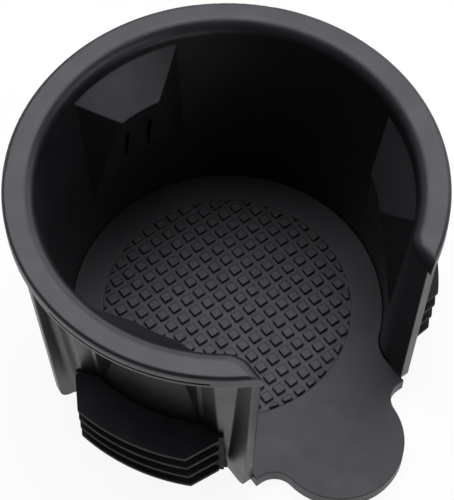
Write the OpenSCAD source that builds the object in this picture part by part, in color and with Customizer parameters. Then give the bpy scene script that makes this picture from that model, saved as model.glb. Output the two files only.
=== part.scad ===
// Drop-in cup holder for a car console: a tapered one-piece cup with a wide rim and a
// slot for a mug handle, a studded rubber floor mat whose tongue fills the slot, and two
// finned rubber pads that grip the console well. Millimetres. The cup axis is Z, the
// underside is z = 0 and the slot opens towards -Y.

/* [Rim] */
// Outer diameter of the rim
rim_d = 96; // [95:0.5:100]
// Height of the rim's side face
rim_t = 3.6; // [3:0.1:5]
// Width of the rim's flat top, up to the rounded mouth
rim_flat = 4; // [3:0.1:4.6]
// Radius of the rim's outer top edge
rim_edge_r = 0.9; // [0.4:0.1:1.4]
// Height of the fine groove in the rim's side over each grip pocket
groove_h = 0.55; // [0.3:0.05:0.9]
// Depth of that groove
groove_depth = 0.8; // [0.3:0.1:1.5]
// Height of the groove above the rim's lower edge
groove_lift = 0.85; // [0.5:0.05:1.5]

/* [Cup] */
// Overall height of the cup
body_h = 58.6; // [54:0.2:70]
// Bore diameter at the top of the floor mat
bore_d = 74.4; // [72:0.1:75]
// Draft of the cup wall in degrees
draft = 4.1; // [3.6:0.1:4.3]
// Thickness of the cup wall
wall = 3.4; // [3:0.1:3.8]
// Thickness of the floor
floor_t = 2; // [1.5:0.1:3]

/* [Handle slot] */
// Width of the slot
slot_w = 43.2; // [36:0.2:45]
// Radius of the corner between the bore and the slot
slot_corner_r = 8; // [5:0.5:9]

/* [Posts] */
// Thickness of the upright posts outside the wall
post_t = 2.2; // [1.6:0.1:3]
// Distance of each post's outer edge inside the rim, just below the rim
post_inset = 0.5; // [0:0.1:1.5]
// Draft of the post's outer edge in degrees
post_draft = 2.7; // [1:0.1:4]
// Radius of the post's lower outer corner
post_corner_r = 2.6; // [1:0.1:4]
// Angle of the rear post beside each pocket, from the slot's axis
rear_post_angle = 96.8; // [93:0.1:100]
// Radius of the fillet between a rear post and the wall
post_fillet_r = 1.8; // [0.8:0.1:2.5]

/* [Grip pockets] */
// Angle of each grip pocket from the slot's axis
grip_angle = 62.7; // [60:0.1:65]
// Half angle that the pocket spans at the outer wall
pocket_half = 23.8; // [22:0.1:24]
// Half angle of the pocket's seat, between its sloping ends
seat_half = 19.6; // [18:0.1:21]
// Thickness of wall left behind the seat
seat_wall = 1.3; // [1:0.1:1.8]
// Height of the ledge under the pad
ledge_h = 3.6; // [2.6:0.1:4.5]

/* [Cup wedges] */
// How far a wedge's peak stands out from the bore
wedge_out = 6.7; // [4:0.1:8]
// Depth of a wedge's upper end below the rim's top
wedge_top = 4.6; // [4:0.1:8]
// Depth of the peak below the rim's top
wedge_peak = 13.5; // [12:0.5:18]
// Depth of the wedge's lower end below the rim's top
wedge_end = 42; // [36:0.5:46]
// Half width of the peak
peak_half_w = 5; // [3:0.1:7]
// Angle between the wedge's flank and its middle line
flank_angle = 62; // [55:1:66]
// Draft of the flanks in degrees
flank_draft = 3.5; // [2:0.1:5]
// Wall thickness behind a wedge that stands in a grip pocket
wedge_wall = 2; // [1.6:0.1:2.6]
// Width of the two fine slits in a wedge's face
slit_w = 1.1; // [0.6:0.1:1.6]
// Length of a slit
slit_l = 12; // [8:0.5:14]
// Depth of a slit
slit_depth = 0.8; // [0.4:0.1:1]
// Angle of each slit from the wedge's middle line
slit_angle = 5; // [3.5:0.1:6]

/* [Floor mat] */
// Thickness of the mat on the floor
mat_t = 1.8; // [1.4:0.1:2.6]
// Clearance between the mat and the cup
mat_gap = 0.15; // [0.1:0.05:0.3]
// Depth of the studded disc below the ring
disc_depth = 0.25; // [0.1:0.05:0.5]
// Diameter of the studded disc
disc_d = 59.2; // [50:0.2:64]
// Pitch of the studs
stud_pitch = 3.55; // [3.2:0.05:6]
// Side of a stud
stud_w = 2.2; // [1.6:0.1:2.6]
// Height of a stud above the disc
stud_h = 0.75; // [0.4:0.05:1.2]
// Shift of the stud rows towards the slot
stud_shift = 0.5; // [0:0.1:1.7]
// Margin between the studs and the disc's edge
stud_margin = 0.35; // [0.2:0.05:1]
// Distance from the cup's axis to the tip of the tongue
tongue_reach = 58.5; // [56:0.5:66]
// Radius of the tongue's round end
tongue_r = 15; // [12:0.5:17]
// Distance from the cup's axis to the tongue's shoulders
shoulder_reach = 40.6; // [40:0.1:43]
// Radius of the hollow between shoulder and round end
hollow_r = 5; // [3:0.5:6]
// Radius of the tongue's rounded top edge
tongue_edge_r = 1.2; // [0.5:0.1:1.6]

/* [Grip pads] */
// Radius from the cup's axis to the top fin's edge
fin_reach = 48.8; // [47:0.1:51]
// How much less each lower fin reaches than the one above
fin_step = 0.25; // [0:0.05:0.5]
// Number of fins
fin_count = 4; // [3:1:4]
// Thickness of a fin at its edge
fin_t = 1.1; // [0.8:0.1:1.6]
// Vertical pitch of the fins
fin_pitch = 4.93; // [3.6:0.01:4.95]
// Half angle of a fin at its edge
fin_half = 15.9; // [12:0.1:17]
// Half angle at which a fin's cut end meets the pad
fin_root_half = 24.3; // [20:0.1:25]
// Height of the lowest fin above the ledge
fin_lift = 1; // [0.4:0.1:1.5]
// Half angle of the cover plate that laps the pocket's edges
cover_half = 25.7; // [25.2:0.1:26.2]
// Thickness of the cover plate outside the wall at its top
cover_t = 0.9; // [0.6:0.1:1.4]
// Clearance between a pad and the cup wall
pad_gap = 0.1; // [0.05:0.05:0.3]

/* [Hidden] */
$fn = 128;
rim_r = rim_d / 2;
mouth_r = rim_r - rim_flat;
mat_top = floor_t + mat_t;
rim_low = body_h - rim_t;
slot_x = slot_w / 2;
past = 1;
hair = 0.06;

// Radius of the bore, of the outer wall and of the pocket's seat at height z
function bore_r(z) = bore_d / 2 + (z - mat_top) * tan(draft);
function outer_r(z) = bore_r(z) + wall;
function seat_r(z) = bore_r(z) + seat_wall;
function polar(r, a) = [r * cos(a), r * sin(a)];

// The mouth's round edge runs from the rim's flat top down into the bore
mouth_round = (mouth_r - bore_r(body_h)) / (1 - tan(draft));
mouth_z = body_h - mouth_round;

// Centre of the slot corner's arc at height z, on the +X side
function corner_y(z) = -sqrt(pow(bore_r(z) + slot_corner_r, 2)
                             - pow(slot_x + slot_corner_r, 2));
corner_tilt = atan((corner_y(floor_t) - corner_y(body_h)) / (body_h - floor_t));

// Heights and radii of a wedge
wedge_z1 = body_h - wedge_top;
wedge_zp = body_h - wedge_peak;
wedge_z0 = body_h - wedge_end;
peak_r = bore_r(wedge_zp) - wedge_out;
wedge_apex = peak_r * cos(asin(peak_half_w / peak_r)) - peak_half_w / tan(flank_angle);
wedge_half = 22;

// Apex of the two planes that form the pocket's sloping ends, at mid height
pocket_zm = (ledge_h + rim_low) / 2;
pocket_in = polar(seat_r(pocket_zm), seat_half);
pocket_out = polar(outer_r(pocket_zm), pocket_half);
pocket_run = (pocket_out - pocket_in)[0] / (pocket_out - pocket_in)[1];
pocket_apex = pocket_in[0] - pocket_in[1] * pocket_run;
groove_half = pocket_half - 1;

// The tongue's round end and the hollow beside it
lobe_y = -(tongue_reach - tongue_r);
hollow_y = -shoulder_reach - hollow_r;
hollow_x = sqrt(pow(tongue_r + hollow_r, 2) - pow(hollow_y - lobe_y, 2));
hollow_end = atan2(lobe_y - hollow_y, -hollow_x);
mat_x = slot_x - 2 * mat_gap;
mat_r = bore_r(mat_top) - mat_gap;

// Heights on a grip pad
fins_low = ledge_h + fin_lift;
pad_top = fins_low + fin_t + (fin_count - 1) * fin_pitch;
cover_r = outer_r(pad_top) + pad_gap + cover_t;

// Vertical wedge-shaped prism between two planes that meet at radius x and height z
module plane_pair(x, z, half_angle, tilt, h) {
    reach = 30;
    translate([x, 0, z]) rotate([0, tilt, 0]) translate([0, 0, -h])
        linear_extrude(2 * h)
            polygon([[0, 0], [reach, reach * tan(half_angle)],
                     [reach, -reach * tan(half_angle)]]);
}

// Half of the square left outside a quarter circle, used for round edges
module edge_profile(r) {
    difference() {
        square(r + past);
        circle(r);
    }
}

// Solid of revolution that spans half_angle on both sides of the X axis
module sector(half_angle) {
    rotate([0, 0, -half_angle]) rotate_extrude(angle = 2 * half_angle) children();
}

module at_grip(side) {
    rotate([0, 0, -90 + side * grip_angle]) children();
}

// Section of the cup with its rim, as if it were solid
module outside_section() {
    polygon([[0, 0], [outer_r(0), 0], [outer_r(rim_low), rim_low], [rim_r, rim_low],
             [rim_r, body_h - rim_edge_r], [rim_r - rim_edge_r, body_h - rim_edge_r],
             [rim_r - rim_edge_r, body_h], [0, body_h]]);
    translate([rim_r - rim_edge_r, body_h - rim_edge_r]) circle(rim_edge_r);
}

// Section of the bore, flaring at the mouth into the rim's flat top
module bore_section() {
    difference() {
        polygon([[0, floor_t], [bore_r(floor_t), floor_t], [bore_r(mouth_z), mouth_z],
                 [mouth_r, mouth_z], [mouth_r, body_h + past], [0, body_h + past]]);
        translate([mouth_r, mouth_z]) circle(mouth_round);
    }
}

// Side view of a post: its outer edge drafts inwards to a round lower corner
module post_profile(top_reach) {
    low_reach = top_reach - rim_low * tan(post_draft);
    r = post_corner_r;
    difference() {
        polygon([[outer_r(0) - wall / 2, 0], [low_reach, 0], [top_reach, rim_low],
                 [outer_r(rim_low) - wall / 2, rim_low]]);
        translate([low_reach - r, r]) rotate([0, 0, -90]) edge_profile(r);
    }
}

module slot_post(x0) {
    middle = slot_x + post_t / 2;
    reach = sqrt(pow(rim_r - post_inset, 2) - pow(middle, 2));
    cut = outer_r(0) - sqrt(pow(outer_r(0), 2) - pow(middle, 2));
    translate([x0, 0, 0]) rotate([90, 0, -90]) linear_extrude(post_t)
        translate([-cut, 0]) post_profile(reach + cut);
}

module rear_post(side) {
    rotate([0, 0, -90 + side * rear_post_angle]) {
        translate([0, post_t / 2, 0]) rotate([90, 0, 0])
            linear_extrude(post_t) post_profile(rim_r - post_inset);
        for (m = [0, 1]) mirror([0, m, 0])
            translate([outer_r(0), post_t / 2, 0]) rotate([0, draft, 0])
                translate([0, 0, -past]) linear_extrude(body_h)
                    difference() {
                        translate([-wall / 2, -post_t / 4])
                            square([post_fillet_r + wall / 2, post_fillet_r + post_t / 4]);
                        translate([post_fillet_r, post_fillet_r]) circle(post_fillet_r);
                    }
    }
}

// Wedge that stands into the bore and centres a cup, its middle line on +X
module wedge() {
    skin = seat_wall / 2;
    difference() {
        intersection() {
            sector(wedge_half)
                polygon([[bore_r(wedge_z1), wedge_z1], [peak_r, wedge_zp],
                         [bore_r(wedge_z0), wedge_z0], [bore_r(wedge_z0) + skin, wedge_z0],
                         [bore_r(wedge_z1) + skin, wedge_z1]]);
            plane_pair(wedge_apex, wedge_zp, flank_angle, flank_draft, body_h);
        }
        for (a = [-slit_angle, slit_angle]) rotate([0, 0, a]) slit();
    }
}

// Lens-shaped slit, cut as a saw would cut it, along the wedge's sloping face
module slit() {
    run = bore_r(wedge_z0) - peak_r;
    fall = wedge_zp - wedge_z0;
    part = 0.6;
    disc_r = (pow(slit_l / 2, 2) + pow(slit_depth, 2)) / (2 * slit_depth);
    translate([peak_r + run * part - disc_r + slit_depth, slit_w / 2, wedge_zp - fall * part])
        rotate([90, 0, 0]) cylinder(r = disc_r, h = slit_w);
}

// Hollow behind a wedge, open to the grip pocket, that keeps the wall even
module wedge_hollow() {
    ramp = atan2(wedge_z1 - wedge_zp, bore_r(wedge_z1) - peak_r);
    face = atan2(wedge_z0 - wedge_zp, bore_r(wedge_z0) - peak_r);
    half = (ramp - face) / 2;
    tip = [peak_r, wedge_zp] + polar(wedge_wall / sin(half), (ramp + face) / 2);
    reach = 12;
    intersection() {
        sector(wedge_half) polygon([tip, tip + polar(reach, ramp),
                                    tip + [reach, 0], tip + polar(4 * reach, face)]);
        plane_pair(wedge_apex + wedge_wall / sin(flank_angle), wedge_zp, flank_angle,
                   flank_draft, body_h);
        sector(seat_half) translate([0, ledge_h]) square([rim_r, rim_low - ledge_h]);
    }
}

module grip_pocket() {
    intersection() {
        sector(pocket_half + 3)
            polygon([[seat_r(ledge_h), ledge_h], [seat_r(rim_low), rim_low],
                     [rim_r + past, rim_low], [rim_r + past, ledge_h]]);
        plane_pair(pocket_apex, pocket_zm, atan(1 / pocket_run), draft, body_h);
    }
    wedge_hollow();
}

// Handle slot, straight through the wall and the rim
module slot_opening() {
    far = rim_r + past;
    near = bore_r(floor_t) * cos(asin(slot_x / bore_r(floor_t))) - past;
    translate([-slot_x, -far, floor_t]) cube([slot_w, far - near, body_h]);
}

// Round corner between the bore and the slot, leaning as the bore's wall does. Its centre
// is set in by a hair, here and at the mouth, so that the blends cross the walls they join
module slot_corner() {
    r = slot_corner_r;
    cx = slot_x + r;
    cy = corner_y(floor_t);
    sharp_y = -sqrt(pow(bore_r(floor_t), 2) - pow(slot_x, 2));
    to_bore = atan2(-cy, -cx);
    translate([cx, cy, floor_t]) rotate([corner_tilt, 0, 0]) linear_extrude(body_h)
        difference() {
            polygon([[0, 0], polar(r + past / 2, to_bore), [-r - 2, sharp_y - cy + 2],
                     [-r - past / 2, 0]]);
            translate([-hair, hair]) circle(r);
        }
}

// The mouth's round edge, carried round the slot corner, a touch fuller at the wall
module corner_mouth() {
    cx = slot_x + slot_corner_r;
    cy = corner_y(mouth_z);
    turn = 180 - atan2(-cy, -cx);
    r = mouth_round + 2 * hair;
    translate([cx - hair, cy + hair, body_h - r]) rotate([0, 0, 180 - turn])
        rotate_extrude(angle = turn)
            translate([slot_corner_r - mouth_round, 0]) edge_profile(r);
}

// The mouth's round edge, carried out along the slot
module slot_mouth() {
    translate([slot_x + mouth_round, corner_y(mouth_z) + 2, mouth_z])
        rotate([90, 0, 0]) mirror([1, 0, 0]) linear_extrude(rim_r) edge_profile(mouth_round);
}

module rim_groove() {
    sector(groove_half) translate([rim_r - groove_depth, rim_low + groove_lift])
        square([groove_depth + past, groove_h]);
}

// The cup with its posts, before the slot and the pockets are cut
module plain_cup() {
    rotate_extrude() difference() {
        outside_section();
        bore_section();
    }
    slot_post(slot_x + post_t);
    slot_post(-slot_x);
    for (side = [-1, 1]) rear_post(side);
}

module slotted_cup() {
    difference() {
        difference() {
            difference() {
                plain_cup();
                slot_opening();
            }
            for (m = [0, 1]) mirror([m, 0, 0]) slot_corner();
        }
        for (m = [0, 1]) mirror([m, 0, 0]) corner_mouth();
        for (m = [0, 1]) mirror([m, 0, 0]) slot_mouth();
    }
}

module holder_body() {
    color([0.29, 0.3, 0.31]) difference() {
        union() {
            slotted_cup();
            for (side = [-1, 1]) at_grip(side) wedge();
            rotate([0, 0, 90]) wedge();
        }
        for (side = [-1, 1]) at_grip(side) grip_pocket();
        for (side = [-1, 1]) at_grip(side) rim_groove();
        translate([-rim_r, -rim_r, -2 * past]) cube([rim_d, rim_d, 2 * past]);
    }
}

// Plan of the mat: a disc, the neck in the slot, and the tongue with its round end
module mat_plan() {
    neck_y = corner_y(mat_top);
    corner = slot_x + slot_corner_r;
    difference() {
        union() {
            circle(mat_r);
            translate([-mat_x, -shoulder_reach]) square([2 * mat_x, shoulder_reach]);
            polygon([[-corner, neck_y], [0, 0], [corner, neck_y]]);
            translate([0, lobe_y]) circle(tongue_r);
            polygon([[-hollow_x, -shoulder_reach], [-hollow_x, hollow_y], [0, lobe_y],
                     [hollow_x, hollow_y], [hollow_x, -shoulder_reach]]);
        }
        for (m = [-1, 1]) {
            translate([m * corner, neck_y]) circle(corner - mat_x);
            translate([m * hollow_x, hollow_y]) circle(hollow_r);
        }
    }
}

// Cutter for the round top edge of the tongue, from the shoulders round the tip
module tongue_edge() {
    r = tongue_edge_r;
    z = mat_top - r;
    lobe_half = 90 - atan2(hollow_y - lobe_y, hollow_x);
    translate([0, lobe_y, z]) rotate([0, 0, -90]) sector(lobe_half)
        translate([tongue_r - r, 0]) edge_profile(r);
    for (m = [0, 1]) mirror([m, 0, 0]) {
        translate([hollow_x, hollow_y, z]) rotate([0, 0, 90])
            rotate_extrude(angle = 90 - atan2(lobe_y - hollow_y, hollow_x))
                translate([hollow_r + r, 0]) mirror([1, 0]) edge_profile(r);
        translate([hollow_x, -shoulder_reach + r, z]) rotate([90, 0, 90])
            linear_extrude(slot_x) mirror([1, 0]) edge_profile(r);
    }
}

module studs() {
    count = ceil(disc_d / stud_pitch / 2);
    linear_extrude(stud_h) intersection() {
        circle(disc_d / 2 - stud_margin);
        for (i = [-count:count], j = [-count:count])
            translate([i * stud_pitch, j * stud_pitch - stud_shift])
                square(stud_w, center = true);
    }
}

module floor_mat() {
    color([0.2, 0.205, 0.21]) {
        difference() {
            linear_extrude(mat_top) mat_plan();
            translate([0, 0, -past])
                cylinder(r = outer_r(floor_t) + 2 * mat_gap, h = floor_t + past);
            translate([0, 0, mat_top - disc_depth]) cylinder(d = disc_d, h = mat_t);
            tongue_edge();
        }
        translate([0, 0, mat_top - disc_depth]) studs();
    }
}

// One fin: a flat blade with a round edge to the well and its ends cut off straight
module fin(i) {
    root = polar(outer_r(pad_top) + 2 * cover_t, fin_root_half);
    edge = polar(fin_reach, fin_half);
    past_edge = edge + 0.6 * (edge - root);
    back = polar(outer_r(pad_top), fin_root_half);
    z = pad_top - fin_t - i * fin_pitch;
    translate([0, 0, z]) linear_extrude(fin_t) difference() {
        intersection() {
            circle(fin_reach - i * fin_step);
            polygon([back, root, past_edge, [past_edge[0], -past_edge[1]],
                     [root[0], -root[1]], [back[0], -back[1]]]);
        }
        circle(cover_r - cover_t * 0.3);
    }
}

// Pad about +X: a block in the pocket, a cover plate over its edges, and the fins
module grip_pad() {
    gap = pad_gap;
    intersection() {
        sector(pocket_half + 3)
            polygon([[seat_r(ledge_h) + gap, ledge_h], [seat_r(pad_top) + gap, pad_top],
                     [cover_r - cover_t * 0.6, pad_top], [cover_r - cover_t * 0.6, ledge_h]]);
        plane_pair(pocket_apex + gap / sin(atan(1 / pocket_run)), pocket_zm,
                   atan(1 / pocket_run), draft, body_h);
    }
    sector(cover_half)
        polygon([[outer_r(ledge_h) + gap, ledge_h], [outer_r(pad_top) + gap, pad_top],
                 [cover_r, pad_top], [cover_r, ledge_h]]);
    for (i = [0:fin_count - 1]) fin(i);
}

module left_grip_pad() {
    color([0.09, 0.09, 0.1]) at_grip(-1) grip_pad();
}

module right_grip_pad() {
    color([0.09, 0.09, 0.1]) at_grip(1) grip_pad();
}

holder_body();
floor_mat();
left_grip_pad();
right_grip_pad();
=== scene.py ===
"""Looks for the car cup holder: camera, studio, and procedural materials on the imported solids."""

import math

import bpy
from mathutils import Matrix, Vector


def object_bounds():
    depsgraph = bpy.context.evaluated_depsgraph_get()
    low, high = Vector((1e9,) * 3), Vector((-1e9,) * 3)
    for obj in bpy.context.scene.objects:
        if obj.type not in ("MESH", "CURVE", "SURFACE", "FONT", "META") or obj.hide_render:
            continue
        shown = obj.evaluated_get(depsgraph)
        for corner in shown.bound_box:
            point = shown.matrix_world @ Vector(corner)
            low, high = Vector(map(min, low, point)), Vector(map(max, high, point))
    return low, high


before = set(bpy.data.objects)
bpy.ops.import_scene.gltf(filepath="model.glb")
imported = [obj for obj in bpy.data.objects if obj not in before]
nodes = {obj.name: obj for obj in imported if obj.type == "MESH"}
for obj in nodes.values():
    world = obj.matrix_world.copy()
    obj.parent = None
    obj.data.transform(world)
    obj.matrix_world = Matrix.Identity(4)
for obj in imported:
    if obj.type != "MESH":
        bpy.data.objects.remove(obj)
cad_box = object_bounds()
scene = bpy.context.scene

# ------------------------------------------------------------------ camera
# The view was solved from the rim's, mat's and disc's ellipses and the upright posts.
AZIMUTH = math.radians(35.7)
TILT = math.radians(58.99)
ROLL = math.radians(-0.362)
EYE = Vector((-0.1242, -0.1729, 0.3832))
SENSOR_HEIGHT = 36                  # mm
FOCAL_PER_HEIGHT = 1820.7 / 500     # pixels of the photograph


def add_camera():
    forward = Vector((0, math.cos(TILT), -math.sin(TILT)))
    right = Vector((1, 0, 0))
    up = right.cross(forward)
    x_axis = right * math.cos(ROLL) + up * math.sin(ROLL)
    y_axis = -right * math.sin(ROLL) + up * math.cos(ROLL)
    turn = Matrix.Rotation(-AZIMUTH, 3, "Z")
    axes = Matrix((turn @ x_axis, turn @ y_axis, turn @ -forward)).transposed()
    data = bpy.data.cameras.new("camera")
    data.sensor_fit = "VERTICAL"
    data.sensor_height = SENSOR_HEIGHT
    data.lens = SENSOR_HEIGHT * FOCAL_PER_HEIGHT
    data.clip_start = 0.01
    camera = bpy.data.objects.new("camera", data)
    camera.matrix_world = Matrix.Translation(EYE) @ axes.to_4x4()
    scene.collection.objects.link(camera)
    scene.camera = camera


# ------------------------------------------------------------------ studio
WHITE = (1, 1, 1, 1)
WORLD_LEVEL = 0.0918
LAMP_DISTANCE = 1.2
# Name, azimuth and elevation in degrees, width and height in metres, and level.
LAMPS = [
    ("overhead_far", 0, 66, 1.36, 0.96, 3.4),
    ("far_low", 30, 19.4, 1.57, 0.4, 2.5),
    ("right_low", 116, 26, 1.2, 0.45, 1.7),
    ("left_low", 306, 14, 0.6, 0.4, 0.62),
    ("left_high", 295, 52, 0.6, 0.6, 0.745),
]
FLOOR_HALF = 3.0
FLOOR_GAP = 0.00005                 # keeps the floor's plane off the cup's underside
FLOOR_COLOUR = (0.98, 0.98, 0.98, 1)
FLOOR_GLOW = 0.92                   # the floor's own white, the rest takes light and shadow


def studio_direction(azimuth, elevation):
    """Unit vector towards a place in the studio; azimuth 0 is beyond the object in the photo,
    90 is to its right."""
    a, e = math.radians(azimuth), math.radians(elevation)
    seen = Vector((math.sin(a) * math.cos(e), math.cos(a) * math.cos(e), math.sin(e)))
    return Matrix.Rotation(-AZIMUTH, 3, "Z") @ seen


def add_softbox(name, azimuth, elevation, width, height, level):
    """A rectangle of radiance level that faces the object."""
    data = bpy.data.lights.new(name, "AREA")
    data.shape = "RECTANGLE"
    data.size, data.size_y = width, height
    data.energy = level * math.pi * width * height
    box = bpy.data.objects.new(name, data)
    away = studio_direction(azimuth, elevation)
    box.location = away * LAMP_DISTANCE
    box.rotation_euler = away.to_track_quat("Z", "Y").to_euler()
    scene.collection.objects.link(box)


def add_world():
    """Faint even light, and white where the camera sees past the floor."""
    world = bpy.data.worlds.new("studio")
    world.use_nodes = True
    tree = world.node_tree
    tree.nodes.clear()
    out = tree.nodes.new("ShaderNodeOutputWorld")
    mix = tree.nodes.new("ShaderNodeMixShader")
    path = tree.nodes.new("ShaderNodeLightPath")
    seen = tree.nodes.new("ShaderNodeBackground")
    seen.inputs["Color"].default_value = WHITE
    seen.inputs["Strength"].default_value = 1
    light = tree.nodes.new("ShaderNodeBackground")
    light.inputs["Color"].default_value = WHITE
    light.inputs["Strength"].default_value = WORLD_LEVEL
    tree.links.new(path.outputs["Is Camera Ray"], mix.inputs["Fac"])
    tree.links.new(light.outputs[0], mix.inputs[1])
    tree.links.new(seen.outputs[0], mix.inputs[2])
    tree.links.new(mix.outputs[0], out.inputs["Surface"])
    scene.world = world


def white_floor():
    """White to the camera and in reflections, with a share that takes the object's shadow."""
    material, tree, shader = new_material("floor_white")
    shader.inputs["Base Color"].default_value = FLOOR_COLOUR
    shader.inputs["Roughness"].default_value = 0.9
    shader.inputs["Specular IOR Level"].default_value = 0.0
    glow = tree.nodes.new("ShaderNodeEmission")
    glow.inputs["Color"].default_value = WHITE
    glow.inputs["Strength"].default_value = 1
    path = tree.nodes.new("ShaderNodeLightPath")
    seen = tree.nodes.new("ShaderNodeMath")
    seen.operation = "MAXIMUM"
    tree.links.new(path.outputs["Is Camera Ray"], seen.inputs[0])
    tree.links.new(path.outputs["Is Glossy Ray"], seen.inputs[1])
    share = tree.nodes.new("ShaderNodeMath")
    share.operation = "MULTIPLY"
    share.inputs[1].default_value = FLOOR_GLOW
    tree.links.new(seen.outputs[0], share.inputs[0])
    mix = tree.nodes.new("ShaderNodeMixShader")
    tree.links.new(share.outputs[0], mix.inputs["Fac"])
    tree.links.new(shader.outputs[0], mix.inputs[1])
    tree.links.new(glow.outputs[0], mix.inputs[2])
    tree.links.new(mix.outputs[0], tree.nodes["Material Output"].inputs["Surface"])
    return material


def add_floor():
    h = FLOOR_HALF
    mesh = bpy.data.meshes.new("floor")
    mesh.from_pydata([(-h, -h, 0), (h, -h, 0), (h, h, 0), (-h, h, 0)], [], [(0, 1, 2, 3)])
    floor = bpy.data.objects.new("floor", mesh)
    floor.location.z = cad_box[0][2] - FLOOR_GAP
    scene.collection.objects.link(floor)
    mesh.materials.append(white_floor())


# ------------------------------------------------------------------ materials
def new_material(name):
    material = bpy.data.materials.new(name)
    material.use_nodes = True
    tree = material.node_tree
    return material, tree, tree.nodes["Principled BSDF"]


def noise(tree, vector, scale, detail=3.0):
    node = tree.nodes.new("ShaderNodeTexNoise")
    node.inputs["Scale"].default_value = scale
    node.inputs["Detail"].default_value = detail
    tree.links.new(vector, node.inputs["Vector"])
    return node.outputs["Fac"]


def ramp(tree, value, low, high, out_low, out_high):
    node = tree.nodes.new("ShaderNodeMapRange")
    node.inputs["From Min"].default_value = low
    node.inputs["From Max"].default_value = high
    node.inputs["To Min"].default_value = out_low
    node.inputs["To Max"].default_value = out_high
    tree.links.new(value, node.inputs["Value"])
    return node.outputs["Result"]


def tint(tree, value, dark, light):
    node = tree.nodes.new("ShaderNodeMix")
    node.data_type = "RGBA"
    node.inputs[6].default_value = (*dark, 1)
    node.inputs[7].default_value = (*light, 1)
    tree.links.new(value, node.inputs[0])
    return node.outputs[2]


def bump(tree, height, strength, distance, normal):
    node = tree.nodes.new("ShaderNodeBump")
    node.inputs["Strength"].default_value = strength
    node.inputs["Distance"].default_value = distance
    tree.links.new(height, node.inputs["Height"])
    tree.links.new(normal, node.inputs["Normal"])
    return node.outputs["Normal"]


def soft_edges(tree, radius):
    """Normals that round the sharp edges of a moulding by radius."""
    node = tree.nodes.new("ShaderNodeBevel")
    node.samples = 6
    node.inputs["Radius"].default_value = radius
    return node.outputs["Normal"]


def moulded(name, dark, light, cloud_scale, smear_scale, roughness, sheen, sheen_colour,
            edge_radius, relief):
    """A moulded black: clouded colour, smeared gloss, rounded edges and a fine relief.

    sheen and sheen_colour are the reflection's strength and its faint blue. relief lists
    (noise scale, noise detail, bump strength, bump height in metres)."""
    material, tree, shader = new_material(name)
    shader.inputs["Specular IOR Level"].default_value = sheen
    shader.inputs["Specular Tint"].default_value = (*sheen_colour, 1)
    place = tree.nodes.new("ShaderNodeTexCoord").outputs["Object"]
    cloud = ramp(tree, noise(tree, place, cloud_scale), 0.35, 0.65, 0, 1)
    tree.links.new(tint(tree, cloud, dark, light), shader.inputs["Base Color"])
    smear = ramp(tree, noise(tree, place, smear_scale, 4), 0.3, 0.7, *roughness)
    tree.links.new(smear, shader.inputs["Roughness"])
    normal = soft_edges(tree, edge_radius)
    for scale, detail, strength, height in relief:
        normal = bump(tree, noise(tree, place, scale, detail), strength, height, normal)
    tree.links.new(normal, shader.inputs["Normal"])
    return material


def dress(node_names, material):
    for name in node_names:
        for slot in nodes[name].material_slots:
            slot.material = material


scene.view_settings.view_transform = "Standard"
add_camera()
add_world()
add_floor()
for lamp in LAMPS:
    add_softbox(*lamp)

dress(["holder_body"], moulded(
    "cup_plastic", (0.0088, 0.009, 0.0108), (0.0112, 0.0114, 0.0137),
    cloud_scale=60, smear_scale=140, roughness=(0.36, 0.44),
    sheen=0.555, sheen_colour=(0.91, 0.92, 1), edge_radius=0.0005,
    relief=[(2600, 2, 0.25, 0.00006), (90, 2, 0.12, 0.0004)]))
dress(["floor_mat"], moulded(
    "mat_rubber", (0.0088, 0.0086, 0.0105), (0.0112, 0.0109, 0.0133),
    cloud_scale=120, smear_scale=200, roughness=(0.43, 0.49),
    sheen=0.5, sheen_colour=(0.92, 0.89, 1), edge_radius=0.0004,
    relief=[(3200, 3, 0.35, 0.00008)]))
dress(["left_grip_pad", "right_grip_pad"], moulded(
    "pad_rubber", (0.0169, 0.0169, 0.0211), (0.0215, 0.0215, 0.0269),
    cloud_scale=150, smear_scale=260, roughness=(0.74, 0.86),
    sheen=0.4, sheen_colour=(0.91, 0.92, 1), edge_radius=0.0003,
    relief=[(3000, 3, 0.3, 0.00008)]))
